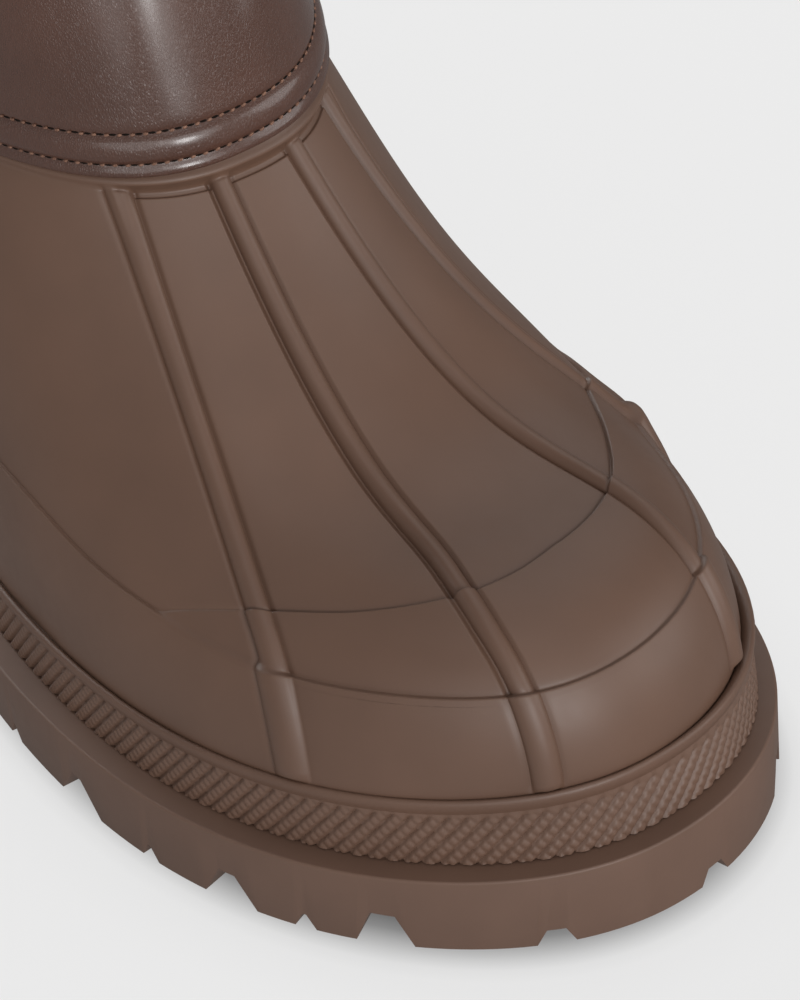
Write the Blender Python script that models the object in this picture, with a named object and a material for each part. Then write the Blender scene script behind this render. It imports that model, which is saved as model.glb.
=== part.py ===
"""High boot for the right foot: ribbed rubber bottom, leather shaft and lugged sole.

Metres, +Z up, +X towards the toe, -Y the outer (lateral) side. The sole stands on z = 0.
"""
import bpy
import bmesh
import numpy as np
from mathutils import Matrix
from mathutils import Vector

MM = 0.001

# Driving sizes of the sole
HALF_LENGTH = 141 * MM
LATERAL_TOE_POWER = 3.05
MEDIAL_TOE_POWER = 5.03
HEEL_POWER = 5.0
SIDE_WALL = 14.8 * MM
SIDE_DRAFT = 0.43 * MM
SIDE_BEVEL = 0.7 * MM
TOE_SPRING = 3.6 * MM
SPRING_START = 55 * MM
HEEL_RISE = 9 * MM
RISE_FRONT = 15 * MM
RISE_BACK = -75 * MM
WAIST_LIFT = 6.5 * MM
WAIST_FRONT = -2 * MM
WAIST_BACK = -72 * MM
LEDGE = 4.6 * MM
BAND_HEIGHT = 12.0 * MM
BAND_LEAN = 0.5 * MM
BAND_SWELL = 1.2 * MM
SWELL_SIDE = -2 * MM
SWELL_WIDTH = 38 * MM
SWELL_BACK = 10 * MM
SWELL_LENGTH = 50 * MM

# Driving sizes of the upper
WELT_INSET = 5.07 * MM
WELT_HEIGHT = 29.8 * MM
BEAD_PROUD = 0.9 * MM
RUBBER_WALL = 2.4 * MM
RIB_HEIGHT = 1.3 * MM
RIB_WIDTH = 4.8 * MM
RIB_CROWN = 0.45
OVERLAY = 0.6 * MM
OVERLAY_EDGE = 0.008
RIM_DROP = 3.8 * MM
RIM_PROUD = 1.6 * MM
FLANGE_HEIGHT = 20 * MM
FLANGE_PARTS = (0.35, 0.7, 1.0)
EDGE_HEIGHT = 104 * MM
EDGE_FRONT = 34.4 * MM
OVAL_POWER = 2.35
OVAL_MIDDLE = -0.6 * MM
LEATHER = 1.8 * MM
INSOLE_THICKNESS = 5 * MM
GAP = 0.3 * MM

# The rib fractions count from a centre a little to the medial side of the toe tip
RIB_FRACTIONS = (-0.107, -0.036, 0.036, 0.1135)
WELT_SHIFT = 6.3 * MM
EDGE_SHIFT = 1.3 * MM

# Mesh counts
SOLE_COLUMNS = 88
SHAFT_COLUMNS = 80
BETWEEN_RIBS = 4
BEHIND_RIBS = 44
LOOP_STEPS = 720
NUDGE = 0.002

SOLE_PLAN = (
    # x, lateral half width, medial half width, in mm before the ends are rounded
    (-141, 44.0, 42.0),
    (-110, 44.0, 42.0),
    (-70, 44.0, 40.0),
    (-30, 49.5, 43.5),
    (5, 56.5, 51.5),
    (55, 61.4, 55.8),
    (100, 61.4, 54.2),
    (141, 57.9, 50.6),
)

WALL_SECTIONS = (
    # fraction of the welt, fraction of the leather edge, then the (reach, rise) control points
    # of the profile, low, middle and high, and its bow towards the middle in mm
    (0.000, 0.000, 0.018, 0.459, 0.363, 0.512, 0.492, 0.059, 0.0),
    (0.036, 0.022, 0.018, 0.459, 0.363, 0.512, 0.492, 0.059, 0.0),
    (0.107, 0.064, 0.082, 0.380, 0.184, 0.343, 0.529, 0.378, 2.2),
    (0.147, 0.096, 0.018, 0.356, 0.200, 0.323, 0.520, 0.453, 1.4),
    (0.200, 0.142, -0.031, 0.263, 0.207, 0.340, 0.485, 0.597, 0.0),
    (0.300, 0.256, -0.100, 0.290, 0.110, 0.520, 0.560, 0.700, 0.0),
    (0.400, 0.376, -0.180, 0.300, -0.020, 0.620, 0.640, 0.780, 0.0),
    (0.500, 0.500, -0.240, 0.300, -0.060, 0.620, 0.680, 0.780, 0.0),
)

OVERLAY_LINES = (
    # fraction, then the profile places of the mudguard line and the toe cap line, lateral and medial
    (0.000, 0.166, 0.450, 0.166, 0.450),
    (0.036, 0.159, 0.421, 0.182, 0.450),
    (0.070, 0.178, 0.410, 0.220, 0.473),
    (0.107, 0.214, 0.394, 0.274, 0.452),
    (0.149, 0.287, 0.286, 0.392, 0.330),
    (0.176, 0.337, 0.150, 0.425, 0.170),
    (0.200, 0.390, 0.000, 0.440, 0.000),
    (0.250, 0.405, 0.000, 0.430, 0.000),
    (0.350, 0.380, 0.000, 0.385, 0.000),
    (0.500, 0.360, 0.000, 0.360, 0.000),
)

RIB_COURSES = (
    # profile place, then how far each of the four ribs keeps to the medial side of its fraction, in mm
    (0.00, -0.6, -0.7, 0.6, 0.0),
    (0.20, -0.8, -0.7, 0.7, 0.0),
    (0.32, -1.0, -0.4, 1.0, 0.0),
    (0.42, -1.2, 0.6, 1.5, 0.0),
    (0.55, -1.3, 2.2, 1.9, 0.0),
    (0.75, -1.3, 2.1, 1.7, 0.0),
    (1.00, -1.1, 1.6, 1.4, 0.0),
)

WALL_TRIMS = (
    # fraction and place of the middle, reach in both, height in mm
    (0.180, 0.70, 0.060, 0.25, -0.7),
    (0.155, 0.37, 0.030, 0.08, -1.2),
    (0.120, 0.27, 0.012, 0.05, 0.8),
)

WALL_ROWS = (
    # zone, part of the zone from its lower line, side of that line's step, layer on the surface
    ("guard", 0.06, 0, "guard"),
    ("guard", 0.35, 0, "guard"),
    ("guard", 0.70, 0, "guard"),
    ("guard", 1.00, -1, "guard"),
    ("guard", 1.00, 1, "cap"),
    ("cap", 0.50, 0, "cap"),
    ("cap", 1.00, -1, "cap"),
    ("cap", 1.00, 1, "vamp"),
    ("vamp", 0.17, 0, "vamp"),
    ("vamp", 0.36, 0, "vamp"),
    ("vamp", 0.55, 0, "vamp"),
    ("vamp", 0.75, 0, "vamp"),
    ("vamp", 0.92, 0, "vamp"),
)
INNER_PLACES = (0.84, 0.70, 0.56, 0.42, 0.28, 0.16, 0.06)
INNER_DROP = 9 * MM

SHAFT_SECTIONS = (
    # height over the leather edge, centre x, half depth, half width, all in mm, then fall per x
    (0, -42.0, 76.3, 39.7, -0.080),
    (20, -43.6, 72.6, 37.0, -0.072),
    (50, -48.6, 66.6, 38.0, -0.058),
    (95, -53.5, 61.5, 42.0, -0.035),
    (155, -57.0, 60.5, 47.5, -0.015),
    (225, -59.5, 62.5, 52.5, -0.004),
    (281, -61.0, 64.0, 55.0, 0.000),
)

SHAFT_ROWS = (
    # height over the leather edge, how far the surface stands out or in there, both in mm
    (0.0, -0.5),
    (0.9, 0.0),
    (2.5, -0.2),
    (5.2, 0.5),
    (8.0, -0.2),
    (12.0, 0.0),
    (28.0, 0.0),
    (45.0, 0.0),
    (62.0, 0.0),
    (100.0, 0.0),
    (165.0, 0.0),
    (225.0, 0.0),
    (280.0, 0.0),
    (281.0, -0.4),
)

SHAFT_INNER = (281, 225, 165, 100, 62, 45, 28, 14, 0)

LUG_NOTCHES = (
    # way from the middle of the toe, width on the floor, width at the top, depth, reach, in mm
    (15.4, 6.5, 3.2, 3.0, 9.0),
    (44.8, 10.5, 4.5, 6.5, 16.0),
    (59.9, 4.2, 0.8, 3.0, 9.0),
    (75.7, 11.6, 3.5, 6.5, 16.0),
    (95.5, 4.2, 0.8, 3.0, 9.0),
    (116.5, 12.8, 3.2, 6.5, 16.0),
    (140.9, 4.2, 0.8, 3.0, 9.0),
    (162.0, 12.0, 3.2, 6.5, 16.0),
    (258.0, 4.2, 0.8, 3.0, 9.0),
    (276.0, 11.0, 3.2, 6.5, 16.0),
    (296.0, 4.2, 0.8, 3.0, 9.0),
    (314.0, 10.0, 3.2, 6.5, 16.0),
)
TOE_MIDDLE = -5.8 * MM
TREAD_DEPTH = 4.5 * MM
TREAD_INSET = 15.0 * MM
TREAD_WIDTH = 4.5 * MM
TREAD_BARS = (-108, -88, 18, 37, 56, 75, 94, 113)
CUTTER_SLACK = 3 * MM

COLOURS = {
    # linear colour and roughness
    "outsole_rubber": ((0.112, 0.063, 0.043), 0.55),
    "band_rubber": ((0.110, 0.061, 0.041), 0.52),
    "shell_rubber": ((0.106, 0.057, 0.037), 0.50),
    "shaft_leather": ((0.058, 0.031, 0.024), 0.38),
    "insole_textile": ((0.160, 0.120, 0.090), 0.90),
}


def smooth(xs, ys, x):
    """Cubic curve through the table points (xs, ys), read at x."""
    xs = np.asarray(xs, float)
    ys = np.asarray(ys, float)
    slope = np.gradient(ys, xs)
    x = np.clip(x, xs[0], xs[-1])
    i = np.clip(np.searchsorted(xs, x) - 1, 0, len(xs) - 2)
    step = xs[i + 1] - xs[i]
    t = (x - xs[i]) / step
    start = (2 * t**3 - 3 * t**2 + 1) * ys[i] + (t**3 - 2 * t**2 + t) * step * slope[i]
    end = (3 * t**2 - 2 * t**3) * ys[i + 1] + (t**3 - t**2) * step * slope[i + 1]
    return start + end


def ease(t):
    """Smooth step from 0 to 1 while t goes from 0 to 1."""
    t = np.clip(t, 0, 1)
    return t * t * (3 - 2 * t)


def arc_lengths(loop):
    """Closed copy of a loop, and the way along it at each point."""
    closed = np.vstack([loop, loop[:1]])
    steps = np.linalg.norm(np.diff(closed, axis=0), axis=1)
    return closed, np.concatenate([[0], np.cumsum(steps)])


def along(loop, fraction, shift=0.0):
    """Points of a loop at fractions of its length, counted from its foremost point."""
    closed, way = arc_lengths(loop)
    start = way[np.argmax(loop[:, 0])] + shift
    place = (start + np.asarray(fraction) * way[-1]) % way[-1]
    return np.column_stack([np.interp(place, way, closed[:, axis]) for axis in (0, 1)])


def sole_loop(inset):
    """Outline of the sole in plan, moved inward by inset: lateral side to the toe, medial side back."""
    turn = np.linspace(0, np.pi, LOOP_STEPS // 2 + 1)
    x = -HALF_LENGTH * np.cos(turn)
    plan = np.array(SOLE_PLAN) * MM
    halves = []
    for column, toe_power in ((1, LATERAL_TOE_POWER), (2, MEDIAL_TOE_POWER)):
        power = np.where(x > 0, toe_power, HEEL_POWER)
        ends = np.sqrt(np.clip(1 - np.abs(x / HALF_LENGTH) ** power, 0, 1))
        halves.append(smooth(plan[:, 0], plan[:, column], x) * ends)
    lateral = np.column_stack([x, -halves[0]])
    medial = np.column_stack([x, halves[1]])[::-1]
    loop = np.vstack([lateral[:-1], medial[:-1]])
    loop = along(loop, np.arange(LOOP_STEPS) / LOOP_STEPS)
    tangent = np.roll(loop, -1, axis=0) - np.roll(loop, 1, axis=0)
    tangent /= np.linalg.norm(tangent, axis=1)[:, None]
    outward = np.column_stack([tangent[:, 1], -tangent[:, 0]])
    return loop - outward * inset


def band_loop(inset):
    """Outline of the band and of the bead over it: swells out on the medial side of the forefoot."""
    loop = sole_loop(inset)
    ahead = np.roll(loop, -1, 0) - np.roll(loop, 1, 0)
    outward = np.column_stack([ahead[:, 1], -ahead[:, 0]])
    outward = outward / np.linalg.norm(outward, axis=1)[:, None]
    sideways = ease((loop[:, 1] - SWELL_SIDE) / SWELL_WIDTH)
    forward = ease((loop[:, 0] - SWELL_BACK) / SWELL_LENGTH)
    return loop + outward * (BAND_SWELL * sideways * forward)[:, None]


def oval_loop(centre_x, half_depth, half_width):
    """Superellipse in plan, as the sections of the shaft have."""
    turn = np.linspace(-np.pi, np.pi, LOOP_STEPS, endpoint=False)
    power = 2 / OVAL_POWER
    x = centre_x + half_depth * np.sign(np.cos(turn)) * np.abs(np.cos(turn)) ** power
    y = OVAL_MIDDLE + half_width * np.sign(np.sin(turn)) * np.abs(np.sin(turn)) ** power
    return np.column_stack([x, y])


def spring(x):
    """Lift of the toe."""
    t = np.clip((x - SPRING_START) / (HALF_LENGTH - SPRING_START), 0, 1)
    return TOE_SPRING * t * t


def sole_rise(x):
    """Rise of every sole layer over its height at the ball: toe spring and heel."""
    return spring(x) + HEEL_RISE * ease((RISE_FRONT - x) / (RISE_FRONT - RISE_BACK))


def sole_floor(x):
    """Underside of the outsole: flat at heel and ball, lifted at the waist and the toe."""
    t = np.clip((x - WAIST_BACK) / (WAIST_FRONT - WAIST_BACK), 0, 1)
    return spring(x) + WAIST_LIFT * np.sin(np.pi * t) ** 2


def ring(plan, height):
    """Ring of 3-D points over plan points."""
    return np.column_stack([plan, np.broadcast_to(height, len(plan))])


def sole_ring(inset, height, columns=SOLE_COLUMNS):
    """Ring round the sole at an inset, at a height over the ball that follows the sole's rise."""
    plan = along(sole_loop(inset), np.arange(columns) / columns)
    return ring(plan, height + sole_rise(plan[:, 0]))


def band_ring(inset, height):
    """Ring round the band at a height over the sole's curved floor."""
    plan = along(band_loop(inset), np.arange(SOLE_COLUMNS) / SOLE_COLUMNS)
    return ring(plan, height + sole_rise(plan[:, 0]))


def shaft_ring(height, inset, fraction):
    """Ring of the shaft at a height over the leather edge, inside its outer face by inset."""
    rows = np.array(SHAFT_SECTIONS)
    sizes = [smooth(rows[:, 0], rows[:, column], height / MM) * MM for column in (1, 2, 3)]
    fall = smooth(rows[:, 0], rows[:, 4], height / MM)
    plan = along(oval_loop(sizes[0], sizes[1] - inset, sizes[2] - inset), fraction, EDGE_SHIFT)
    return ring(plan, EDGE_HEIGHT + height + fall * (plan[:, 0] - EDGE_FRONT))


def section_values(fraction):
    """Columns of the wall table at each fraction; both sides use the same rows."""
    rows = np.array(WALL_SECTIONS)
    before = rows[1:2] * np.where(np.arange(rows.shape[1]) < 2, -1, 1)
    after = rows[-2:-1].copy()
    after[0, :2] = 1 - after[0, :2]
    rows = np.vstack([before, rows, after])
    return [smooth(rows[:, 0], rows[:, column], np.abs(fraction)) for column in range(1, rows.shape[1])]


def edge_fraction(fraction):
    """Fraction of the leather edge that a fraction of the welt runs up to."""
    return np.sign(fraction) * section_values(fraction)[0]


def wall(fraction, place):
    """Point of the surface through the rib crests: place runs from the welt (0) to the rim (1)."""
    fraction = np.atleast_1d(fraction)
    values = section_values(fraction)
    foot = along(WELT_LOOP, fraction, WELT_SHIFT)
    head = shaft_ring(0, 0, np.sign(fraction) * values[0])
    low = WELT_HEIGHT + sole_rise(foot[:, 0])
    weights = [4 * place * (1 - place)**3, 6 * place**2 * (1 - place)**2, 4 * place**3 * (1 - place)]
    reach = sum(w * values[i] for w, i in zip(weights, (1, 3, 5))) + place**4
    rise = sum(w * values[i] for w, i in zip(weights, (2, 4, 6))) + place**4
    plan = foot + reach[:, None] * (head[:, :2] - foot)
    plan[:, 1] -= np.sign(fraction) * values[7] * MM * 4 * reach * (1 - reach)
    return ring(plan, low + rise * (head[:, 2] - RIM_DROP - low))


def wall_normal(fraction, place):
    """Outward normal of the wall surface."""
    across = wall(fraction + NUDGE, place) - wall(fraction - NUDGE, place)
    upward = wall(fraction, place + NUDGE) - wall(fraction, place - NUDGE)
    normal = np.cross(across, upward)
    return normal / np.linalg.norm(normal, axis=1)[:, None]


def overlay_lines(fraction):
    """Places of the mudguard line and the toe cap line, and how much the toe cap shows over it."""
    rows = np.array(OVERLAY_LINES)
    lines = [smooth(rows[:, 0], rows[:, column], np.abs(fraction)) for column in range(1, 5)]
    guard = np.where(fraction < 0, lines[0], lines[2])
    cap = np.where(fraction < 0, lines[1], lines[3])
    shows = ease((cap - guard) / (4 * OVERLAY_EDGE))
    return guard, np.maximum(cap, guard + 4 * OVERLAY_EDGE), shows


def row_place(fraction, row):
    """Place on the profile of a wall row: rows keep to the overlay lines, and are even between them."""
    guard, cap, _ = overlay_lines(fraction)
    zone, part, side = row
    edges = {"guard": (0, guard), "cap": (guard, cap), "vamp": (cap, 1)}
    low, high = edges[zone]
    return low + part * (high - low) + side * OVERLAY_EDGE


def row_columns(row):
    """Fractions of the columns of a wall row, with the rib height at each.

    Every rib has four columns at its own width in mm, with even columns between the ribs.
    """
    courses = np.array(RIB_COURSES)
    feet = []
    for index, middle in enumerate(RIB_FRACTIONS):
        place = row_place(middle, row)
        across = wall(middle + NUDGE, place) - wall(middle - NUDGE, place)
        course = smooth(courses[:, 0], courses[:, index + 1], place) * MM
        offsets = course + RIB_WIDTH / 2 * np.array([-1, -RIB_CROWN, RIB_CROWN, 1])
        feet.append(middle + offsets * 2 * NUDGE / np.linalg.norm(across))
    fractions = []
    heights = []
    for index, rib in enumerate(feet):
        fractions.extend(rib)
        heights.extend((0, 1, 1, 0))
        last = index == len(feet) - 1
        following = 1 + feet[0][0] if last else feet[index + 1][0]
        count = BEHIND_RIBS if last else BETWEEN_RIBS
        inner = rib[-1] + (following - rib[-1]) * np.arange(1, count + 1) / (count + 1)
        fractions.extend(inner)
        heights.extend([0] * count)
    fractions = np.array(fractions)
    fractions[fractions > 0.5] -= 1
    return fractions, np.array(heights) * RIB_HEIGHT


def wall_trim(fraction, place):
    """Small corrections of the wall surface."""
    trim = np.zeros_like(fraction)
    for middle, level, reach, rise, height in WALL_TRIMS:
        away = ((fraction - middle) / reach) ** 2 + ((place - level) / rise) ** 2
        trim = trim + height * MM * np.exp(-away)
    return trim


def layer_height(fraction, layer, rib):
    """Height over the vamp's panels: overlays, the quarters behind the outer ribs, and the ribs."""
    shows = overlay_lines(fraction)[2]
    quarter = (fraction < RIB_FRACTIONS[0]) | (fraction > RIB_FRACTIONS[-1])
    heights = {
        "guard": 2 * OVERLAY + rib,
        "cap": OVERLAY * np.maximum(shows, quarter) + rib,
        "vamp": np.maximum(OVERLAY * quarter, rib),
    }
    return heights[layer]


def mesh_object(name, bm, collection, finish=None):
    """Object from a bmesh, with its faces turned outward and its flat shading kept at sharp edges."""
    bmesh.ops.recalc_face_normals(bm, faces=bm.faces)
    mesh = bpy.data.meshes.new(name)
    bm.to_mesh(mesh)
    bm.free()
    mesh.shade_smooth()
    mesh.set_sharp_from_angle(angle=np.radians(35))
    piece = bpy.data.objects.new(name, mesh)
    collection.objects.link(piece)
    if finish:
        mesh.materials.append(finish)
    return piece


def cap_across(bm, loop):
    """Close a ring with strips that run across it, from its first point to its middle one."""
    count = len(loop)
    for i in range(count // 2):
        corners = [loop[i], loop[i + 1], loop[count - i - 1], loop[(count - i) % count]]
        bm.faces.new(list(dict.fromkeys(corners)))


def loft(rings, tube):
    """Bmesh through rings of equal count: a tube joins its last ring to the first, else both are capped."""
    bm = bmesh.new()
    loops = [[bm.verts.new(point) for point in points] for points in rings]
    following = loops[1:] + loops[:1] if tube else loops[1:]
    for lower, upper in zip(loops, following):
        for i in range(len(lower)):
            bm.faces.new((lower[i - 1], lower[i], upper[i], upper[i - 1]))
    if not tube:
        cap_across(bm, loops[0])
        cap_across(bm, loops[-1])
    return bm


def notch_cutter(bm, row):
    """Tapered block for one notch between lugs, cut on both sides of the toe's middle."""
    way, foot, top, depth, reach = (size * MM for size in row)
    loop = sole_loop(0)
    length = arc_lengths(loop)[1][-1]
    for side in (-1, 1):
        fraction = (TOE_MIDDLE + side * way) / length
        spot, ahead, behind = along(loop, fraction + np.array([0, NUDGE, -NUDGE]))
        tangent = Vector((*(ahead - behind), 0)).normalized()
        inward = Vector((-tangent.y, tangent.x, 0))
        floor = sole_floor(spot[0])
        widen = (foot - top) / depth * CUTTER_SLACK
        verts = bmesh.ops.create_cube(bm, size=2)["verts"]
        for vert in verts:
            high = vert.co.z > 0
            half = top / 2 if high else (foot + widen) / 2
            deep = reach if vert.co.y > 0 else -CUTTER_SLACK
            lift = floor + depth if high else floor - CUTTER_SLACK
            vert.co = Vector((*spot, lift)) + tangent * vert.co.x * half + inward * deep


def tread_bar(bm, x):
    """Box for one groove across the tread."""
    plan = np.array(SOLE_PLAN)
    lateral = smooth(plan[:, 0], plan[:, 1], x) * MM
    medial = smooth(plan[:, 0], plan[:, 2], x) * MM
    ends = np.sqrt(1 - abs(x * MM / HALF_LENGTH) ** LATERAL_TOE_POWER)
    inner = TREAD_INSET + TREAD_WIDTH / 2
    low = inner - lateral * ends
    high = medial * ends - inner
    top = sole_floor(x * MM) + TREAD_DEPTH
    centre = Matrix.Translation((x * MM, (low + high) / 2, (top - CUTTER_SLACK) / 2))
    size = Matrix.Diagonal((TREAD_WIDTH, high - low, top + CUTTER_SLACK, 1))
    bmesh.ops.create_cube(bm, size=1, matrix=centre @ size)


def tread_cutters(collection):
    """Cutters of the outsole: side notches, the channel inside the outer lugs, and the cross grooves."""
    notches = bmesh.new()
    for row in LUG_NOTCHES:
        notch_cutter(notches, row)
    bars = bmesh.new()
    for x in TREAD_BARS:
        tread_bar(bars, x)
    rings = []
    for inset, top in ((0, False), (0.15, True), (0.85, True), (1, False)):
        plan = along(sole_loop(TREAD_INSET + inset * TREAD_WIDTH), np.arange(SOLE_COLUMNS) / SOLE_COLUMNS)
        floor = sole_floor(plan[:, 0])
        rings.append(ring(plan, floor + TREAD_DEPTH if top else floor - CUTTER_SLACK))
    channel = loft(rings, True)
    cutters = []
    for name, bm in (("notches", notches), ("channel", channel), ("bars", bars)):
        cutter = mesh_object("cut_" + name, bm, collection)
        cutter.hide_render = True
        cutter.display_type = "WIRE"
        cutters.append(cutter)
    return cutters


def make_outsole(collection, cutters):
    """Lugged rubber sole with its side wall, a flat ball and heel, a raised waist and a toe spring."""
    foot = along(sole_loop(SIDE_DRAFT), np.arange(SOLE_COLUMNS) / SOLE_COLUMNS)
    rings = [
        ring(foot, sole_floor(foot[:, 0])),
        sole_ring(0, SIDE_WALL - SIDE_BEVEL),
        sole_ring(SIDE_BEVEL, SIDE_WALL),
    ]
    outsole = mesh_object("outsole", loft(rings, False), collection, material("outsole_rubber"))
    for cutter in cutters:
        cut = outsole.modifiers.new(cutter.name, "BOOLEAN")
        cut.operation = "DIFFERENCE"
        cut.solver = "EXACT"
        cut.object = cutter
    return outsole


def make_midsole(collection):
    """Band between outsole and upper: stands in from the side wall and leans in a little."""
    base = SIDE_WALL + GAP
    rings = [
        band_ring(LEDGE, base),
        band_ring(LEDGE + BAND_LEAN, base + BAND_HEIGHT - BAND_LEAN),
        band_ring(LEDGE + 2 * BAND_LEAN, base + BAND_HEIGHT),
    ]
    return mesh_object("midsole", loft(rings, False), collection, material("band_rubber"))


def make_insole(collection):
    """Footbed inside the foot of the rubber wall."""
    inset = WELT_INSET + RIB_HEIGHT + OVERLAY + RUBBER_WALL + 3 * GAP
    base = SIDE_WALL + BAND_HEIGHT + 2 * GAP
    edge = INSOLE_THICKNESS / 4
    rings = [
        sole_ring(inset, base),
        sole_ring(inset, base + INSOLE_THICKNESS - edge),
        sole_ring(inset + edge, base + INSOLE_THICKNESS),
    ]
    return mesh_object("insole", loft(rings, False), collection, material("insole_textile"))


def make_rubber_shell(collection):
    """Hollow moulded bottom: bead, mudguard, toe cap, ribs, rim and the flange inside the leather."""
    base = SIDE_WALL + BAND_HEIGHT + 2 * GAP
    sunk = RIB_HEIGHT + OVERLAY
    columns = row_columns(WALL_ROWS[0][:3])[0]
    rings = []
    bead = ((0.2, 0.0), (1.0, 0.25), (1.0, 0.75), (0.1, 1.0))
    bead_height = WELT_HEIGHT - base
    for proud, lift in bead:
        plan = along(band_loop(WELT_INSET - proud * BEAD_PROUD), columns, WELT_SHIFT)
        rings.append(ring(plan, base + lift * bead_height + sole_rise(plan[:, 0])))
    for row in WALL_ROWS:
        fraction, rib = row_columns(row[:3])
        place = row_place(fraction, row[:3])
        height = layer_height(fraction, row[3], rib) + wall_trim(fraction, place) - sunk
        rings.append(wall(fraction, place) + wall_normal(fraction, place) * height[:, None])
    top_columns = row_columns(WALL_ROWS[-1][:3])[0]
    around = edge_fraction(top_columns)
    seat = LEATHER + GAP
    for inset, height in ((seat, -0.85), (seat - RIM_PROUD, -0.6), (seat - RIM_PROUD, -0.3), (seat, -0.1)):
        rings.append(shaft_ring(0, inset, around) + np.array([0, 0, height * RIM_DROP]))
    for part in FLANGE_PARTS:
        rings.append(shaft_ring(part * FLANGE_HEIGHT, seat, around))
    rings.append(shaft_ring(FLANGE_HEIGHT, seat + RUBBER_WALL, around))
    rings.append(shaft_ring(0, seat + RUBBER_WALL, around))
    rings.append(shaft_ring(0, seat + RUBBER_WALL, around) - np.array([0, 0, INNER_DROP]))
    depth = sunk + RUBBER_WALL
    for place in INNER_PLACES:
        rings.append(wall(columns, place) - wall_normal(columns, place) * depth)
    plan = along(sole_loop(WELT_INSET + depth), columns, WELT_SHIFT)
    rings.append(ring(plan, base + sole_rise(plan[:, 0])))
    return mesh_object("rubber_shell", loft(rings, True), collection, material("shell_rubber"))


def make_shaft(collection):
    """Leather leg, a tube sewn over the flange of the rubber bottom and open at both ends."""
    fraction = np.arange(SHAFT_COLUMNS) / SHAFT_COLUMNS
    outer = [shaft_ring(height * MM, -proud * MM, fraction) for height, proud in SHAFT_ROWS]
    inner = [shaft_ring(height * MM, LEATHER, fraction) for height in SHAFT_INNER]
    return mesh_object("shaft", loft(outer + inner, True), collection, material("shaft_leather"))


def material(name):
    """Principled material from the colour table."""
    colour, roughness = COLOURS[name]
    finish = bpy.data.materials.new(name)
    finish.use_nodes = True
    shader = finish.node_tree.nodes["Principled BSDF"]
    shader.inputs["Base Color"].default_value = (*colour, 1)
    shader.inputs["Roughness"].default_value = roughness
    shader.inputs["Metallic"].default_value = 0
    return finish


def new_collection(name):
    """Collection linked to the scene."""
    collection = bpy.data.collections.new(name)
    bpy.context.scene.collection.children.link(collection)
    return collection


def main():
    for old in list(bpy.data.objects):
        bpy.data.objects.remove(old)
    parts = new_collection("high_boot")
    cutting = new_collection("cutters")
    cutters = tread_cutters(cutting)
    pieces = [make_outsole(parts, cutters), make_midsole(parts), make_insole(parts),
              make_rubber_shell(parts), make_shaft(parts)]
    outline = sole_loop(0)
    middle = bpy.data.objects.new("boot_middle", None)
    parts.objects.link(middle)
    middle.location.y = -(outline[:, 1].max() + outline[:, 1].min()) / 2
    for piece in pieces + cutters:
        piece.parent = middle


WELT_LOOP = sole_loop(WELT_INSET)
main()
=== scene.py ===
"""Looks of the high boot: moulded rubber bottom, grained leather leg, stitches, grip band and lugs.

Metres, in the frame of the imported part: +Z up, +X towards the toe, -Y the outer (lateral) side.
"""
import bpy
import bmesh
import numpy as np
from mathutils import Matrix, Vector


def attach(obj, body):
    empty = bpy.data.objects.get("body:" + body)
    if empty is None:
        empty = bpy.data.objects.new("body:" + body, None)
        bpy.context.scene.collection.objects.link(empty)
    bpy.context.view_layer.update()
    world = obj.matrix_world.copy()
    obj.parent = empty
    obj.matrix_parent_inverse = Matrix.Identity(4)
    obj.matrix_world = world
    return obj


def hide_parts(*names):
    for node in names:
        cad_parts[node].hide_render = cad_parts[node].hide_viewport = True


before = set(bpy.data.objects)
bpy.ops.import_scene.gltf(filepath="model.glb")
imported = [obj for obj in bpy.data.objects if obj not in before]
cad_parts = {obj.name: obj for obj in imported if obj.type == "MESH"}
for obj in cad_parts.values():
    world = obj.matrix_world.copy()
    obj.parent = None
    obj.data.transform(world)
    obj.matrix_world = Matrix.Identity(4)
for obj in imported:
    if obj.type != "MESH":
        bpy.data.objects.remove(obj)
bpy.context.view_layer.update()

MM = 0.001
BODY = "root"

# The photograph's camera, in the boot's own frame
CAMERA_AZIMUTH = 59.39
CAMERA_ELEVATION = 35.39
CAMERA_ROLL = -7.2
CAMERA_DISTANCE = 0.736
CAMERA_TARGET = (0.0723, -0.0023, 0.0513)
CAMERA_LENS = 155.7
SENSOR_WIDTH = 36
CAMERA_NEAR = 0.01

# Studio light
ROOM_LIGHT = 0.23
FLOOR_GLOW = 0.715
LIGHT_DISTANCE = 2
LIGHTS = (
    # name, azimuth from +X towards +Y and elevation in degrees, strength, spread in degrees
    ("front", 352, 20, 0.90, 40),
    ("key", 350, 14, 0.95, 15),
    ("front_left", 315, 20, 0.60, 40),
    ("front_right", 48, 20, 1.00, 40),
    ("lateral", 280, 5, 0.30, 120),
    ("back", 180, 20, 1.36, 40),
    ("back_right", 135, 50, 0.35, 40),
    ("above", 0, 80, 0.38, 40),
)

# Sizes of the sole, as in the part's source; only the round of its top edge is the scene's own
HALF_LENGTH = 141 * MM
LATERAL_TOE_POWER = 3.05
MEDIAL_TOE_POWER = 5.03
HEEL_POWER = 5.0
SIDE_WALL = 14.8 * MM
SIDE_DRAFT = 0.43 * MM
SIDE_ROUND = 0.5 * MM
TOE_SPRING = 3.6 * MM
SPRING_START = 55 * MM
HEEL_RISE = 9 * MM
RISE_FRONT = 15 * MM
RISE_BACK = -75 * MM
WAIST_LIFT = 6.5 * MM
WAIST_FRONT = -2 * MM
WAIST_BACK = -72 * MM
LEDGE = 4.6 * MM
BAND_HEIGHT = 12.0 * MM
BAND_LEAN = 0.5 * MM
BAND_SWELL = 1.2 * MM
SWELL_SIDE = -2 * MM
SWELL_WIDTH = 38 * MM
SWELL_BACK = 10 * MM
SWELL_LENGTH = 50 * MM

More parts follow.
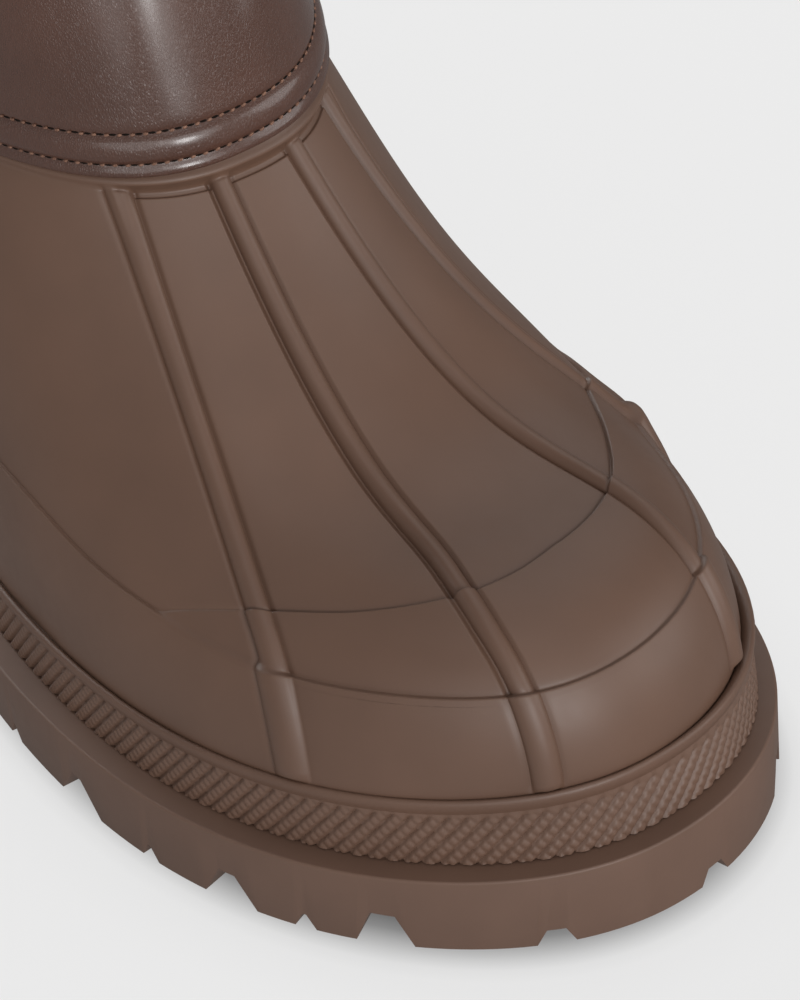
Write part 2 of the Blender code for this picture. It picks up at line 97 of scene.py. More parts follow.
# Sizes of the upper, most of them as in the part's source
WELT_INSET = 5.07 * MM
WELT_HEIGHT = 29.8 * MM
RUBBER_WALL = 2.4 * MM
SUNK = 1.9 * MM
RIM_DROP = 3.8 * MM
FLANGE_HEIGHT = 20 * MM
FLANGE_PARTS = (0.35, 0.7, 1.0)
EDGE_HEIGHT = 104 * MM
EDGE_FRONT = 34.4 * MM
SHAFT_HEIGHT = 281 * MM
OVAL_POWER = 2.35
OVAL_MIDDLE = -0.6 * MM
LEATHER = 1.8 * MM
INSOLE_THICKNESS = 5 * MM
GAP = 0.3 * MM
RIB_FRACTIONS = (-0.107, -0.036, 0.036, 0.1135)
WELT_SHIFT = 6.3 * MM
EDGE_SHIFT = 1.3 * MM

# Points of an outline, and small steps along it for slopes
LOOP_STEPS = 1440
NUDGE = 0.002
SMALL_STEP = 0.001

# Angles in degrees from which an edge looks sharp
SHARP_ANGLE = 40
ROUND_SHARP_ANGLE = 60
SOLE_SHARP_ANGLE = 50

# Relief of the rubber wall: overlays, their lines, ribs, quarters, cove under the rim, crevice
OVERLAY = 0.6 * MM
EDGE_WIDTH = 0.45 * MM
SOFT_WIDTH = 2.6 * MM
SOFT_START = 0.104
SOFT_FADE = 0.010
CORNER_LATERAL = 0.149
CORNER_MEDIAL = 0.134
CORNER_FADE = 0.004
GUARD_GROOVE = 0.08 * MM
SOFT_LOSS = 0.85
CAP_GROOVE = 0.2 * MM
LINE_MIDDLE = 0.22 * MM
LINE_SPREAD = 0.25 * MM
LINE_REACH = 1.5 * MM
LINE_SHARE = 0.375
LEAST_GAP = 0.3 * MM
GAP_STEP = 0.5 * MM
GAP_LINE = 0.8 * MM
TELEGRAPH = 0.25 * MM
TELEGRAPH_WIDTH = 3.0 * MM
RIB_REACH = 4.6 * MM
RIB_END = 1.0 * MM
CREST_POWER = 0.62
GROOVE_CLIMB = 0.9 * MM
QUARTER_ROUND = 1.2 * MM
QUARTER_FLARE = 0.3 * MM
FLARE_REACH = 8 * MM
PANEL_START = 1.9 * MM
PANEL_FADE = 0.7 * MM
COVE_DEPTH = 0.5 * MM
COVE_EDGE = 0.95 * MM
COVE_BLUR = 0.16 * MM
CREVICE_DROP = 1.0 * MM
CREVICE_TILT = 1.2 * MM

SOLE_PLAN = (
    # x, lateral half width, medial half width, in mm before the ends are rounded
    (-141, 44.0, 42.0),
    (-110, 44.0, 42.0),
    (-70, 44.0, 40.0),
    (-30, 49.5, 43.5),
    (5, 56.5, 51.5),
    (55, 61.4, 55.8),
    (100, 61.4, 54.2),
    (141, 57.9, 50.6),
)

WALL_SECTIONS = (
    # fraction of the welt, fraction of the leather edge, then the (reach, rise) control points
    # of the profile, low, middle and high, and its bow towards the middle in mm
    (0.000, 0.000, 0.018, 0.459, 0.363, 0.512, 0.492, 0.059, 0.0),
    (0.036, 0.022, 0.018, 0.459, 0.363, 0.512, 0.492, 0.059, 0.0),
    (0.107, 0.064, 0.082, 0.380, 0.184, 0.343, 0.529, 0.378, 2.2),
    (0.147, 0.096, 0.018, 0.356, 0.200, 0.323, 0.520, 0.453, 1.4),
    (0.200, 0.142, -0.031, 0.263, 0.207, 0.340, 0.485, 0.597, 0.0),
    (0.300, 0.256, -0.100, 0.290, 0.110, 0.520, 0.560, 0.700, 0.0),
    (0.400, 0.376, -0.180, 0.300, -0.020, 0.620, 0.640, 0.780, 0.0),
    (0.500, 0.500, -0.240, 0.300, -0.060, 0.620, 0.680, 0.780, 0.0),
)

OVERLAY_LINES = (
    # fraction, then the profile places of the mudguard line and the toe cap line, lateral and medial
    (0.000, 0.166, 0.450, 0.166, 0.450),
    (0.036, 0.159, 0.421, 0.182, 0.450),
    (0.070, 0.178, 0.410, 0.220, 0.473),
    (0.107, 0.214, 0.394, 0.274, 0.452),
    (0.149, 0.287, 0.286, 0.392, 0.330),
    (0.176, 0.337, 0.150, 0.425, 0.170),
    (0.200, 0.390, 0.000, 0.440, 0.000),
    (0.250, 0.405, 0.000, 0.430, 0.000),
    (0.350, 0.380, 0.000, 0.385, 0.000),
    (0.500, 0.360, 0.000, 0.360, 0.000),
)

RIB_SIZES = (
    # layer, width, height, depth of the grooves beside it, in mm
    ("vamp", 4.24, 1.05, 0.80),
    ("cap", 4.60, 1.15, 0.55),
    ("guard", 6.00, 1.40, 0.22),
)

RIB_SHAPES = (
    # part of the usual width, flat bottom of the lateral and of the medial groove in mm,
    # then the parts of the usual depth of these two grooves
    (1.15, 0.10, 0.20, 1.0, 0.6),
    (0.88, 0.45, 0.05, 1.1, 0.7),
    (0.88, 0.20, 0.15, 0.8, 0.1),
    (1.00, 0.30, 0.10, 1.0, 1.0),
)

RIB_COURSES = (
    # profile place, then how far each of the four ribs keeps to the medial side of its fraction, in mm
    (0.00, -0.6, -0.7, 0.6, 0.0),
    (0.20, -0.8, -0.7, 0.7, 0.0),
    (0.32, -1.0, -0.4, 1.0, 0.0),
    (0.42, -1.2, 0.6, 1.5, 0.0),
    (0.55, -1.3, 2.2, 1.9, 0.0),
    (0.75, -1.3, 2.1, 1.7, 0.0),
    (1.00, -1.1, 1.6, 1.4, 0.0),
)

WALL_TRIMS = (
    # fraction and place of the middle, reach in both, height in mm
    (0.180, 0.70, 0.060, 0.25, -0.7),
    (0.155, 0.37, 0.030, 0.08, -1.2),
    (0.120, 0.27, 0.012, 0.05, 0.8),
)

SHAFT_SECTIONS = (
    # height over the leather edge, centre x, half depth, half width, all in mm, then fall per x
    (0, -42.0, 76.3, 39.7, -0.080),
    (20, -43.6, 72.6, 37.0, -0.072),
    (50, -48.6, 66.6, 38.0, -0.058),
    (95, -53.5, 61.5, 42.0, -0.035),
    (155, -57.0, 60.5, 47.5, -0.015),
    (225, -59.5, 62.5, 52.5, -0.004),
    (281, -61.0, 64.0, 55.0, 0.000),
)

LUG_NOTCHES = (
    # way from the middle of the toe, width on the floor, width at the top, depth, reach, in mm
    (15.4, 6.5, 3.2, 3.0, 9.0),
    (44.8, 10.5, 4.5, 6.5, 16.0),
    (59.9, 4.2, 0.8, 3.0, 9.0),
    (75.7, 11.6, 3.5, 6.5, 16.0),
    (95.5, 4.2, 0.8, 3.0, 9.0),
    (116.5, 12.8, 3.2, 6.5, 16.0),
    (140.9, 4.2, 0.8, 3.0, 9.0),
    (162.0, 12.0, 3.2, 6.5, 16.0),
    (258.0, 4.2, 0.8, 3.0, 9.0),
    (276.0, 11.0, 3.2, 6.5, 16.0),
    (296.0, 4.2, 0.8, 3.0, 9.0),
    (314.0, 10.0, 3.2, 6.5, 16.0),
)
TOE_MIDDLE = -5.8 * MM
TREAD_DEPTH = 4.5 * MM
TREAD_INSET = 15.0 * MM
TREAD_WIDTH = 4.5 * MM
TREAD_BARS = (-108, -88, 18, 37, 56, 75, 94, 113)
CUTTER_SLACK = 3 * MM
CHANNEL_SECTION = (
    # part of the channel's width, and if that corner of the cutter lies at the channel's top
    (0, False),
    (0.15, True),
    (0.85, True),
    (1, False),
)
LEDGE_LEVEL = 0.9
LEDGE_FLAT = 0.3 * MM
SOFTEN_WIDTH = 0.45 * MM
SOFTEN_SEGMENTS = 2
SOFTEN_ANGLE = 38

# Grip band: leaning bars with cross cuts
KNURL_PITCH = 3.2 * MM
KNURL_RISE = 3.5 * MM
KNURL_DEPTH = 0.68 * MM
KNURL_TOP = 9.6 * MM
KNURL_FADE = 0.4 * MM
KNURL_MARGIN = 0.3 * MM
KNURL_STEPS = 10
KNURL_ROWS = 32
GROOVE_PART = 0.5
CUTS_PER_BAR = 1.5
CUT_RISE = 2.4 * MM
CUT_PART = 0.5
CUT_DEPTH = 0.42
BAND_EDGE = 0.25 * MM
BAND_PROUD = 0.2 * MM

# Leather leg, its hem and its two rows of stitches
HEM_RADIUS = 1.1 * MM
HEM_PROUD = 0.2 * MM
HEM_DROP = 0.7 * MM
HEM_TILT = 1.9 * MM
HEM_FADE = 60 * MM
STITCH_ROWS = (2.4 * MM, 7.5 * MM)
STITCH_PITCH = 2.25 * MM
STITCH_LENGTH = 0.95 * MM
STITCH_THICK = 0.55 * MM
STITCH_LIFT = 0.12 * MM
STITCH_TILT = 0.30
# Needle holes: near-black balls between the stitches, the painted shadow of the holes
HOLE_LENGTH = 1.45 * MM
HOLE_THICK = 0.6 * MM
HOLE_LIFT = -0.12 * MM
BALL_STEPS = 8
SEAM_DIP = 0.35 * MM
SEAM_WIDTH = 0.65 * MM
BAND_PUFF = 0.7 * MM
PUFF_POWER = 0.8
WAVE_HEIGHT = 0.35 * MM
WAVE_START = 15 * MM
WAVE_END = 25 * MM
LEATHER_WAVES = (
    # part of the height, waves round the leg, turn per metre of height, start, both in radians
    (1.0, 9, 40, 0.0),
    (0.6, 17, -65, 1.3),
)
LEG_START = 42 * MM
LEG_TOP = SHAFT_HEIGHT - 2 * MM
LEG_ROWS = 40
LINING_DROP = 4 * MM
LINING_FOOT = 3 * MM
LINING_ROWS = 24
ROUND_STEPS = 9


def smooth(xs, ys, x):
    """Cubic curve through the table points (xs, ys), read at x."""
    xs = np.asarray(xs, float)
    ys = np.asarray(ys, float)
    slope = np.gradient(ys, xs)
    x = np.clip(x, xs[0], xs[-1])
    i = np.clip(np.searchsorted(xs, x) - 1, 0, len(xs) - 2)
    step = xs[i + 1] - xs[i]
    t = (x - xs[i]) / step
    start = (2 * t**3 - 3 * t**2 + 1) * ys[i] + (t**3 - 2 * t**2 + t) * step * slope[i]
    end = (3 * t**2 - 2 * t**3) * ys[i + 1] + (t**3 - t**2) * step * slope[i + 1]
    return start + end


def columns_at(table, x):
    """Smooth values at x of every column of a table after its first, which x runs along."""
    rows = np.array(table)
    return [smooth(rows[:, 0], rows[:, column], x) for column in range(1, rows.shape[1])]


def ease(t):
    """Smooth step from 0 to 1 while t goes from 0 to 1."""
    t = np.clip(t, 0, 1)
    return t * t * (3 - 2 * t)


def unit(vectors):
    """Vectors of length one."""
    return vectors / np.linalg.norm(vectors, axis=1)[:, None]


def right_of(ahead):
    """Unit vectors in plan to the right of some directions: they point out of the loops used here."""
    return unit(np.column_stack([ahead[:, 1], -ahead[:, 0]]))


def outward_of(loop):
    """Unit vectors in plan that point out of a loop at each of its points."""
    return right_of(np.roll(loop, -1, axis=0) - np.roll(loop, 1, axis=0))


def arc_lengths(loop):
    """Closed copy of a loop, and the way along it at each point."""
    closed = np.vstack([loop, loop[:1]])
    steps = np.linalg.norm(np.diff(closed, axis=0), axis=1)
    return closed, np.concatenate([[0], np.cumsum(steps)])


def along(loop, fraction, shift=0.0):
    """Points of a loop at fractions of its length, counted from its foremost point."""
    closed, way = arc_lengths(loop)
    start = way[np.argmax(loop[:, 0])] + shift
    place = (start + np.asarray(fraction) * way[-1]) % way[-1]
    return np.column_stack([np.interp(place, way, closed[:, axis]) for axis in (0, 1)])


def sole_loop(inset):
    """Outline of the sole in plan, moved inward by inset: lateral side to the toe, medial side back."""
    turn = np.linspace(0, np.pi, LOOP_STEPS // 2 + 1)
    x = -HALF_LENGTH * np.cos(turn)
    widths = columns_at(np.array(SOLE_PLAN) * MM, x)
    halves = []
    for width, toe_power in zip(widths, (LATERAL_TOE_POWER, MEDIAL_TOE_POWER)):
        power = np.where(x > 0, toe_power, HEEL_POWER)
        halves.append(width * np.sqrt(np.clip(1 - np.abs(x / HALF_LENGTH) ** power, 0, 1)))
    lateral = np.column_stack([x, -halves[0]])
    medial = np.column_stack([x, halves[1]])[::-1]
    loop = np.vstack([lateral[:-1], medial[:-1]])
    loop = along(loop, np.arange(LOOP_STEPS) / LOOP_STEPS)
    return loop - outward_of(loop) * inset


def band_loop(inset, part=1.0):
    """Outline of the band and of the bead over it: swells out on the medial side of the forefoot."""
    loop = sole_loop(inset)
    sideways = ease((loop[:, 1] - SWELL_SIDE) / SWELL_WIDTH)
    forward = ease((loop[:, 0] - SWELL_BACK) / SWELL_LENGTH)
    return loop + outward_of(loop) * (part * BAND_SWELL * sideways * forward)[:, None]


def oval_loop(centre_x, half_depth, half_width):
    """Superellipse in plan, as the sections of the shaft have."""
    turn = np.linspace(-np.pi, np.pi, LOOP_STEPS, endpoint=False)
    power = 2 / OVAL_POWER
    x = centre_x + half_depth * np.sign(np.cos(turn)) * np.abs(np.cos(turn)) ** power
    y = OVAL_MIDDLE + half_width * np.sign(np.sin(turn)) * np.abs(np.sin(turn)) ** power
    return np.column_stack([x, y])


def spring(x):
    """Lift of the toe."""
    t = np.clip((x - SPRING_START) / (HALF_LENGTH - SPRING_START), 0, 1)
    return TOE_SPRING * t * t


def sole_rise(x):
    """Rise of every sole layer over its height at the ball: toe spring and heel."""
    return spring(x) + HEEL_RISE * ease((RISE_FRONT - x) / (RISE_FRONT - RISE_BACK))


def sole_floor(x):
    """Underside of the outsole: flat at heel and ball, lifted at the waist and the toe."""
    t = np.clip((x - WAIST_BACK) / (WAIST_FRONT - WAIST_BACK), 0, 1)
    return spring(x) + WAIST_LIFT * np.sin(np.pi * t) ** 2


def ring(plan, height):
    """Ring of 3-D points over plan points."""
    return np.column_stack([plan, np.broadcast_to(height, len(plan))])


def sole_ring(inset, height, columns):
    """Ring round the sole at an inset, at a height over the ball that follows the sole's rise."""
    plan = along(sole_loop(inset), np.arange(columns) / columns)
    return ring(plan, height + sole_rise(plan[:, 0]))


def shaft_ring(height, inset, fraction):
    """Ring of the shaft at a height over the leather edge, inside its outer face by inset."""
    *sizes, fall = columns_at(SHAFT_SECTIONS, height / MM)
    centre_x, half_depth, half_width = (size * MM for size in sizes)
    plan = along(oval_loop(centre_x, half_depth - inset, half_width - inset), fraction, EDGE_SHIFT)
    return ring(plan, EDGE_HEIGHT + height + fall * (plan[:, 0] - EDGE_FRONT))


def section_values(fraction):
    """Columns of the wall table at each fraction; both sides use the same rows."""
    rows = np.array(WALL_SECTIONS)
    before = rows[1:2] * np.where(np.arange(rows.shape[1]) < 2, -1, 1)
    after = rows[-2:-1].copy()
    after[0, :2] = 1 - after[0, :2]
    return columns_at(np.vstack([before, rows, after]), np.abs(fraction))


def edge_fraction(fraction):
    """Fraction of the leather edge that a fraction of the welt runs up to."""
    return np.sign(fraction) * section_values(fraction)[0]


def wall(fraction, place):
    """Point of the surface through the rib crests: place runs from the welt (0) to the rim (1).

    Reach and rise follow quartic Bezier curves from 0 to 1, so their weights are 4, 6, 4 and 1.
    """
    fraction = np.atleast_1d(fraction)
    edge, *profile, bow = section_values(fraction)
    foot = along(WELT_LOOP, fraction, WELT_SHIFT)
    head = shaft_ring(0, 0, np.sign(fraction) * edge)
    low = WELT_HEIGHT + sole_rise(foot[:, 0])
    weights = [4 * place * (1 - place)**3, 6 * place**2 * (1 - place)**2, 4 * place**3 * (1 - place)]
    reach = sum(weight * value for weight, value in zip(weights, profile[0::2])) + place**4
    rise = sum(weight * value for weight, value in zip(weights, profile[1::2])) + place**4
    plan = foot + reach[:, None] * (head[:, :2] - foot)
    plan[:, 1] -= np.sign(fraction) * bow * MM * 4 * reach * (1 - reach)
    return ring(plan, low + rise * (head[:, 2] - RIM_DROP - low))


def wall_slopes(fraction, place):
    """Way per fraction and per place on the wall, as vectors."""
    across = wall(fraction + NUDGE, place) - wall(fraction - NUDGE, place)
    upward = wall(fraction, place + NUDGE) - wall(fraction, place - NUDGE)
    return across / (2 * NUDGE), upward / (2 * NUDGE)


def upward_speed(fraction, place):
    """Length of the way per place up the wall."""
    return np.linalg.norm(wall_slopes(fraction, place)[1], axis=1)


def overlay_lines(fraction):
    """Places of the mudguard line and of the toe cap line."""
    lateral_guard, lateral_cap, medial_guard, medial_cap = columns_at(OVERLAY_LINES, np.abs(fraction))
    guard = np.where(fraction < 0, lateral_guard, medial_guard)
    return guard, np.where(fraction < 0, lateral_cap, medial_cap)


WELT_LOOP = sole_loop(WELT_INSET)
OUTLINE = sole_loop(0)
MIDDLE = np.array([0, -(OUTLINE[:, 1].max() + OUTLINE[:, 1].min()) / 2, 0])


# Meshes

def add_piece(name, mesh, materials):
    """Object of a mesh with its materials, put into the scene."""
    for material in materials:
        mesh.materials.append(material)
    piece = bpy.data.objects.new(name, mesh)
    bpy.context.scene.collection.objects.link(piece)
    return piece


def new_object(name, bm, materials, sharp_angle=SHARP_ANGLE):
    """Object from a bmesh in the boot's own plan, moved to the frame's middle."""
    bmesh.ops.recalc_face_normals(bm, faces=bm.faces)
    bmesh.ops.translate(bm, vec=Vector(MIDDLE), verts=bm.verts)
    mesh = bpy.data.meshes.new(name)
    bm.to_mesh(mesh)
    bm.free()
    mesh.shade_smooth()
    mesh.set_sharp_from_angle(angle=np.radians(sharp_angle))
    return add_piece(name, mesh, materials)


def dress(piece, node):
    """Let a piece ride on the boot, in the place of a CAD node where there is one."""
    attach(piece, BODY)
    if node:
        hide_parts(node)


def cap_across(bm, loop):
    """Close a ring with strips that run across it, from its first point to its middle one."""
    count = len(loop)
    for i in range(count // 2):
        corners = [loop[i], loop[i + 1], loop[count - i - 1], loop[(count - i) % count]]
        bm.faces.new(list(dict.fromkeys(corners)))


def loft(rings, tube, slots=None):
    """Bmesh through rings of equal count: a tube joins its last ring to the first, else both are capped.

    slots gives the material slot of each band of faces.
    """
    bm = bmesh.new()
    loops = [[bm.verts.new(point) for point in points] for points in rings]
    following = loops[1:] + loops[:1] if tube else loops[1:]
    for index, (lower, upper) in enumerate(zip(loops, following)):
        for i in range(len(lower)):
            face = bm.faces.new((lower[i - 1], lower[i], upper[i], upper[i - 1]))
            face.material_index = slots[index] if slots else 0
    if not tube:
        cap_across(bm, loops[0])
        cap_across(bm, loops[-1])
    return bm


# Rubber bottom

LINE_STEPS = (-1, -0.6, -0.33, -0.2, -0.1, 0, 0.1, 0.2, 0.33, 0.6, 1)
WALL_ZONES = (
    # zone of the wall, from the bead up to the rim, and the parts of it at which its rows lie;
    # those of the foot are parts of the crevice's drop, those of the top are mm under the rim
    ("foot", (-1.6, -1.2, -0.8, -0.4)),
    ("guard", (0.02, 0.05, 0.09, 0.14, 0.2)),
    ("guard", np.linspace(0.27, 0.9, 10)),
    ("guard_line", LINE_STEPS),
    ("cap", np.linspace(0, 1, 12)[1:-1]),
    ("cap_line", LINE_STEPS),
    ("vamp", np.linspace(0.04, 0.94, 40)),
    ("top", (-2.8, -2.2, -1.7, -1.3, -1.1, -0.98, -0.9, -0.82, -0.6, -0.3, 0)),
)
RIB_STEPS = np.array([0.45, 0.9, 1.25, 1.55, 1.75, 1.9, 2.1, 2.3, 2.5, 2.7, 2.9, 3.1, 3.3, 3.6, 4.0,
                      4.6]) * MM
BETWEEN_RIBS = 12
BEHIND_RIBS = 150
CROWDING = 0.7


def crevice_drop(fraction):
    """How far the crevice over the bead lies under the welt; it tilts to the lateral side."""
    return CREVICE_DROP - CREVICE_TILT * np.sin(2 * np.pi * fraction)


def row_place(fraction, row):
    """Place on the profile of a wall row; rows crowd together where the two lines meet."""
    zone, part = row
    guard, cap = overlay_lines(fraction)
    speed = upward_speed(fraction, guard)
    gap = np.maximum(cap - guard, LEAST_GAP / speed)
    cap = guard + gap
    reach = LINE_REACH / speed
    inner = np.minimum(reach, LINE_SHARE * gap)
    if zone == "foot":
        return part * crevice_drop(fraction) / upward_speed(fraction, 0 * guard)
    if zone == "guard":
        return part * guard
    if zone == "guard_line":
        return guard + part * (inner if part > 0 else reach)
    if zone == "cap":
        return guard + inner + part * (gap - 2 * inner)
    if zone == "cap_line":
        return cap + part * (reach if part > 0 else inner)
    if zone == "vamp":
        return cap + part * (1 - cap)
    return 1 + part * MM / upward_speed(fraction, 0 * guard + 1 - NUDGE)


def row_columns(row):
    """Fractions of a row's columns, and what the relief needs to know of each.

    That is its way from the rib's middle, scaled to a rib of the usual width, the flat bottom and the
    part of the usual depth of the groove beside it, and if it is on a quarter.
    """
    offsets = np.concatenate([-RIB_STEPS[::-1], [0], RIB_STEPS])
    ribs = []
    for index, middle in enumerate(RIB_FRACTIONS):
        middle = np.array([middle])
        place = row_place(middle, row)
        across = wall_slopes(middle, place)[0]
        course = columns_at(RIB_COURSES, np.clip(place, 0, 1))[index] * MM
        ribs.append(middle + (course + offsets) / np.linalg.norm(across))
    fractions = []
    ways = []
    flats = []
    depths = []
    quarter = []
    for index, rib in enumerate(ribs):
        width, lateral, medial, lateral_depth, medial_depth = RIB_SHAPES[index]
        last = index == len(ribs) - 1
        following = 1 + ribs[0][0] if last else ribs[index + 1][0]
        count = BEHIND_RIBS if last else BETWEEN_RIBS
        part = np.arange(1, count + 1) / (count + 1)
        if last:
            part = part - CROWDING * np.sin(2 * np.pi * part) / (2 * np.pi)
        fractions.extend(rib)
        fractions.extend(rib[-1] + (following - rib[-1]) * part)
        ways.extend(offsets / width)
        ways.extend([2 * RIB_REACH] * count)
        flats.extend(np.where(offsets < 0, lateral, medial) * MM)
        flats.extend([0] * count)
        depths.extend(np.where(offsets < 0, lateral_depth, medial_depth))
        depths.extend([1] * count)
        quarter.extend((offsets < 0) if index == 0 else (offsets > 0) & last)
        quarter.extend([last] * count)
    fractions = np.array(fractions)
    fractions[fractions > 0.5] -= 1
    return fractions, np.array(ways), np.array([flats, depths]), np.array(quarter, float)


def rib_relief(way, grooves, quarter, inside_cap, inside_guard):
    """Height of a rib and its grooves at a way from its middle; it grows from layer to layer.

    On the quarter side of the outer ribs the ground is one layer higher and rounds off into the groove.
    """
    vamp, cap, guard = np.array([row[1:] for row in RIB_SIZES]) * MM
    width, height, groove = (vamp[i] + (cap[i] - vamp[i]) * inside_cap + (guard[i] - cap[i]) * inside_guard
                             for i in range(3))
    flat, depth = grooves
    groove = groove * depth
    raised = quarter * (1 - inside_cap)
    bottom = OVERLAY * raised - groove
    side = np.abs(way)
    crest = bottom + (height - bottom) * np.clip(1 - (2 * side / width) ** 2, 0, 1) ** CREST_POWER
    beyond = side - width / 2
    straight = np.clip((beyond - flat) / GROOVE_CLIMB, 0, 1)
    rounded = np.sqrt(1 - (1 - np.clip(beyond / QUARTER_ROUND, 0, 1)) ** 2)
    climb = straight + (rounded - straight) * raised
    return np.where(beyond < 0, crest, bottom + groove * climb)


def line_groove(over):
    """Part of the full depth of the fine groove along an overlay's edge, at a way over that edge."""
    return np.exp(-((over - LINE_MIDDLE) / LINE_SPREAD) ** 2)


def wall_relief(fraction, place, way, grooves, quarter, upward):
    """Height of overlays, lines, ribs and quarters over the vamp's panels."""
    guard, cap = overlay_lines(fraction)
    speed = np.linalg.norm(upward, axis=1)
    over_guard = (place - guard) * speed
    over_cap = (place - cap) * speed
    gap = (cap - guard) * speed
    size = np.abs(fraction)
    corner = np.where(fraction < 0, CORNER_LATERAL, CORNER_MEDIAL)
    soft = ease((size - SOFT_START) / SOFT_FADE) * ease((corner - size) / CORNER_FADE)
    width = EDGE_WIDTH + (SOFT_WIDTH - EDGE_WIDTH) * soft
    inside_guard = ease(0.5 - over_guard / width)
    inside_cap = ease(0.5 - over_cap / EDGE_WIDTH) * ease(gap / GAP_STEP)
    inside_cap = np.maximum(inside_cap, inside_guard)
    under = TELEGRAPH * ease(0.5 - over_cap / TELEGRAPH_WIDTH) * inside_guard
    lines = GUARD_GROOVE * (1 - SOFT_LOSS * soft) * line_groove(over_guard)
    lines = lines + CAP_GROOVE * ease(gap / GAP_LINE) * line_groove(over_cap)
    below_rim = (1 - place) * speed
    ends = ease((place * speed + crevice_drop(fraction)) / RIB_END)
    ribs = rib_relief(way, grooves, quarter, inside_cap, inside_guard) * ends
    flare = QUARTER_FLARE * quarter * ease(1 - below_rim / FLARE_REACH)
    panel = (1 - quarter) * ease((np.abs(way) - PANEL_START) / PANEL_FADE)
    cove = COVE_DEPTH * panel * np.clip((COVE_EDGE - below_rim) / COVE_BLUR + 0.5, 0, 1)
    trims = 0
    for middle, level, reach, rise, height in WALL_TRIMS:
        away = ((fraction - middle) / reach) ** 2 + ((place - level) / rise) ** 2
        trims = trims + height * MM * np.exp(-away)
    return OVERLAY * (inside_cap + inside_guard) + under - lines + ribs + flare - cove + trims


RIM_ROWS = (
    # height over the leather edge, inset from the leather's face, in mm, from the roll's crest up
    (-3.00, 0.74),
    (-2.75, 0.72),
    (-2.50, 0.80),
    (-2.25, 0.98),
    (-2.00, 1.25),
    (-1.60, 1.65),
    (-1.00, 2.00),
    (0.40, 2.05),
    (1.50, 2.10),
)
ROLL_PARTS = (0.1, 0.22, 0.34, 0.46, 0.58, 0.7, 0.82, 0.92)
ROLL_SAG = 0.45 * MM
QUARTER_SAG_LOSS = 0.7

BEAD_ROWS = (
    # height over the band, inset of the bead's face, in mm, then its part of the swell
    (-0.75, 5.60, 1.0),
    (-0.70, 4.95, 1.0),
    (-0.30, 4.75, 1.0),
    (0.20, 4.52, 1.0),
    (0.80, 4.30, 1.0),
    (1.40, 4.20, 1.0),
    (1.95, 4.28, 1.0),
    (2.35, 4.55, 1.0),
    (2.50, 4.95, 0.9),
    (2.30, 5.35, 0.55),
    (1.60, 5.70, 0.2),
    (0.60, 6.00, 0.0),
)
INNER_PLACES = (0.84, 0.76, 0.68, 0.6, 0.5, 0.4, 0.3, 0.2, 0.12, 0.06)
INNER_DROP = 9 * MM


def make_rubber_shell(materials):
    """Moulded bottom with bead, mudguard, toe cap, ribs and rim, and a plain inner face."""
    base = SIDE_WALL + BAND_HEIGHT + 2 * GAP
    rows = [(zone, part) for zone, parts in WALL_ZONES for part in parts]
    columns = row_columns(rows[0])[0]
    rings = []
    for lift, inset, part in BEAD_ROWS:
        plan = along(band_loop(inset * MM, part), columns, WELT_SHIFT)
        height = base + lift * MM - crevice_drop(columns) + sole_rise(plan[:, 0])
        rings.append(ring(plan, height))
    for row in rows:
        fraction, way, grooves, quarter = row_columns(row)
        place = row_place(fraction, row)
        across, upward = wall_slopes(fraction, place)
        height = wall_relief(fraction, place, way, grooves, quarter, upward) - SUNK
        rings.append(wall(fraction, place) + unit(np.cross(across, upward)) * height[:, None])
    around = edge_fraction(fraction)
    crests = [shaft_ring(0, inset * MM, around) + np.array([0, 0, lift * MM]) for lift, inset in RIM_ROWS]
    foot = rings[-1]
    outward = unit(np.cross(across, upward))
    for part in ROLL_PARTS:
        sag = ROLL_SAG * np.sin(np.pi * part) * (1 - QUARTER_SAG_LOSS * quarter)
        rings.append(foot + (crests[0] - foot) * part - outward * sag[:, None])
    rings += crests
    outside = len(rings)
    seat = LEATHER + GAP
    for part in FLANGE_PARTS:
        rings.append(shaft_ring(part * FLANGE_HEIGHT, seat, around))
    rings.append(shaft_ring(FLANGE_HEIGHT, seat + RUBBER_WALL, around))
    rings.append(shaft_ring(0, seat + RUBBER_WALL, around))
    rings.append(shaft_ring(0, seat + RUBBER_WALL, around) - np.array([0, 0, INNER_DROP]))
    depth = SUNK + RUBBER_WALL
    for place in INNER_PLACES:
        across, upward = wall_slopes(columns, np.full(len(columns), place))
        rings.append(wall(columns, place) - unit(np.cross(across, upward)) * depth)
    plan = along(sole_loop(WELT_INSET + depth), columns, WELT_SHIFT)
    rings.append(ring(plan, base + sole_rise(plan[:, 0])))
    slots = [0] * outside + [1] * (len(rings) - outside)
    return new_object("rubber_bottom", loft(rings, True, slots), materials, ROUND_SHARP_ANGLE)


# Leather leg

LEATHER_LOW = (1.3, 1.55, 1.8, 2.0, 2.2, 2.4, 2.6, 2.8, 3.05, 3.4, 3.8, 4.3, 4.9, 5.5, 6.0, 6.4, 6.7, 6.95,
               7.15, 7.35, 7.5, 7.65, 7.85, 8.1, 8.5, 9.1, 10, 11.5, 13, 15, 18, 22, 28, 34)
LEATHER_COLUMNS = 420


def leather_relief(height, fraction):
    """How far the leather stands out at a height over its edge: seams, puffed band, soft waves."""
    low_seam, high_seam = STITCH_ROWS
    relief = np.zeros_like(fraction)
    for seam in STITCH_ROWS:
        relief = relief - SEAM_DIP * np.exp(-((height - seam) / SEAM_WIDTH) ** 2)
    middle = (low_seam + high_seam) / 2
    half = (high_seam - low_seam) / 2
    relief = relief + BAND_PUFF * np.clip(1 - ((height - middle) / half) ** 2, 0, 1) ** PUFF_POWER
    turn = 2 * np.pi * fraction
    waves = sum(part * np.sin(count * turn + lean * height + start)
                for part, count, lean, start in LEATHER_WAVES)
    fade = ease((height - high_seam) / WAVE_START) * ease((LEG_TOP - height) / WAVE_END)
    return relief + WAVE_HEIGHT * waves * fade


